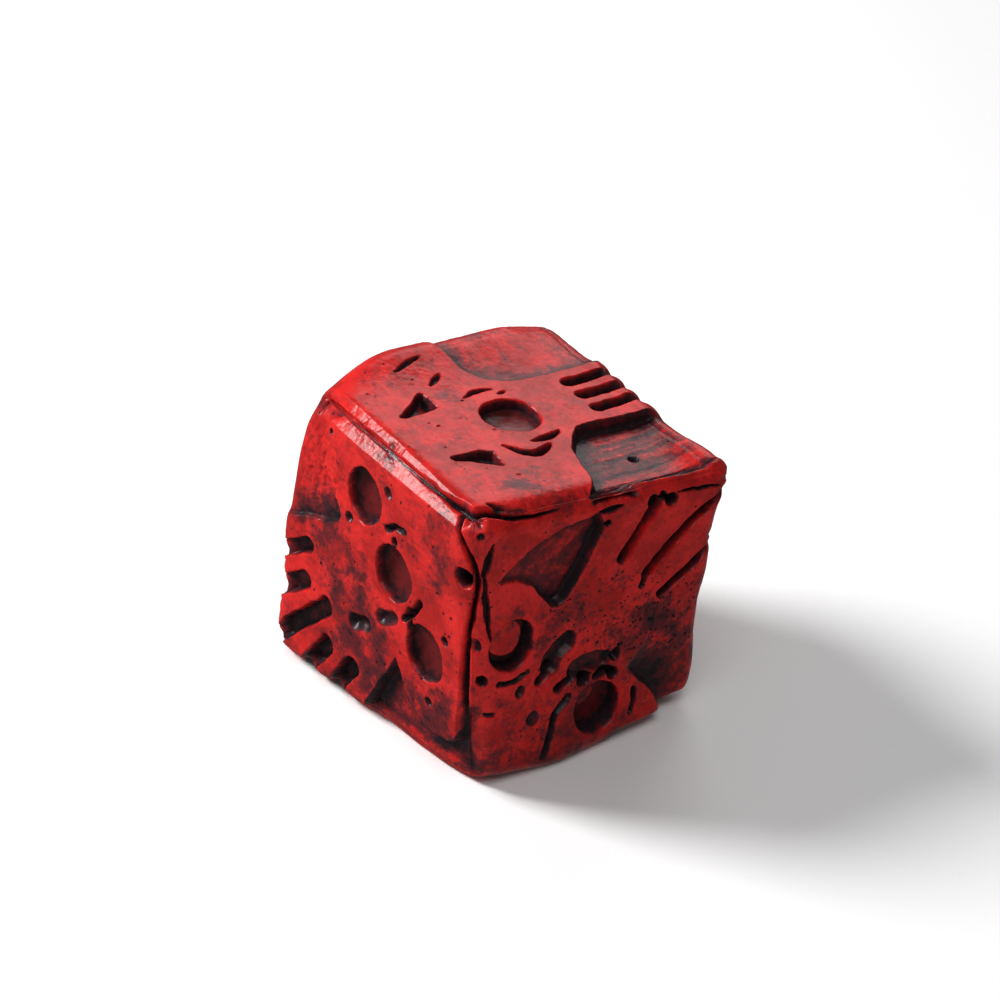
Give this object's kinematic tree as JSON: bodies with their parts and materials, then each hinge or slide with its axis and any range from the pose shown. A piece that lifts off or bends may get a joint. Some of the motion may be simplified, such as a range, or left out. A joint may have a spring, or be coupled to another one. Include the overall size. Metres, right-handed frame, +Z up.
{
  "type": "skull die",
  "caption": "Chunky six-sided resin die with a raised skull relief on each face and round sockets for the numbers.",
  "frame": {"origin": "centre of the face that the die rests on (the six)", "axes": "+Z up through the one; +X out of the two; -Y out of the three"},
  "size_m": [0.0272, 0.0277, 0.0269],
  "materials": {
    "red_resin": "glossy red cast resin, hand brushed with a dark wash in the hollows",
    "core_resin": "dark resin seen only down the seams",
    "dark_wash": "brown-black wash, dried glossy and uneven"
  },
  "bodies": {
    "root": {"core_block": "core_resin", "face_1_slab": "red_resin", "face_1_pip_1": "dark_wash", "face_2_slab": "red_resin", "face_2_pip_1": "dark_wash", "face_2_pip_2": "dark_wash", "face_3_slab": "red_resin", "face_3_pip_1": "dark_wash", "face_3_pip_2": "dark_wash", "face_3_pip_3": "dark_wash", "face_4_slab": "red_resin", "face_4_pip_1": "dark_wash", "face_4_pip_2": "dark_wash", "face_4_pip_3": "dark_wash", "face_4_pip_4": "dark_wash", "face_5_slab": "red_resin", "face_5_pip_1": "dark_wash", "face_5_pip_2": "dark_wash", "face_5_pip_3": "dark_wash", "face_5_pip_4": "dark_wash", "face_5_pip_5": "dark_wash", "face_6_slab": "red_resin", "face_6_pip_1": "dark_wash", "face_6_pip_2": "dark_wash", "face_6_pip_3": "dark_wash", "face_6_pip_4": "dark_wash", "face_6_pip_5": "dark_wash", "face_6_pip_6": "dark_wash"}
  },
  "joints": []
}
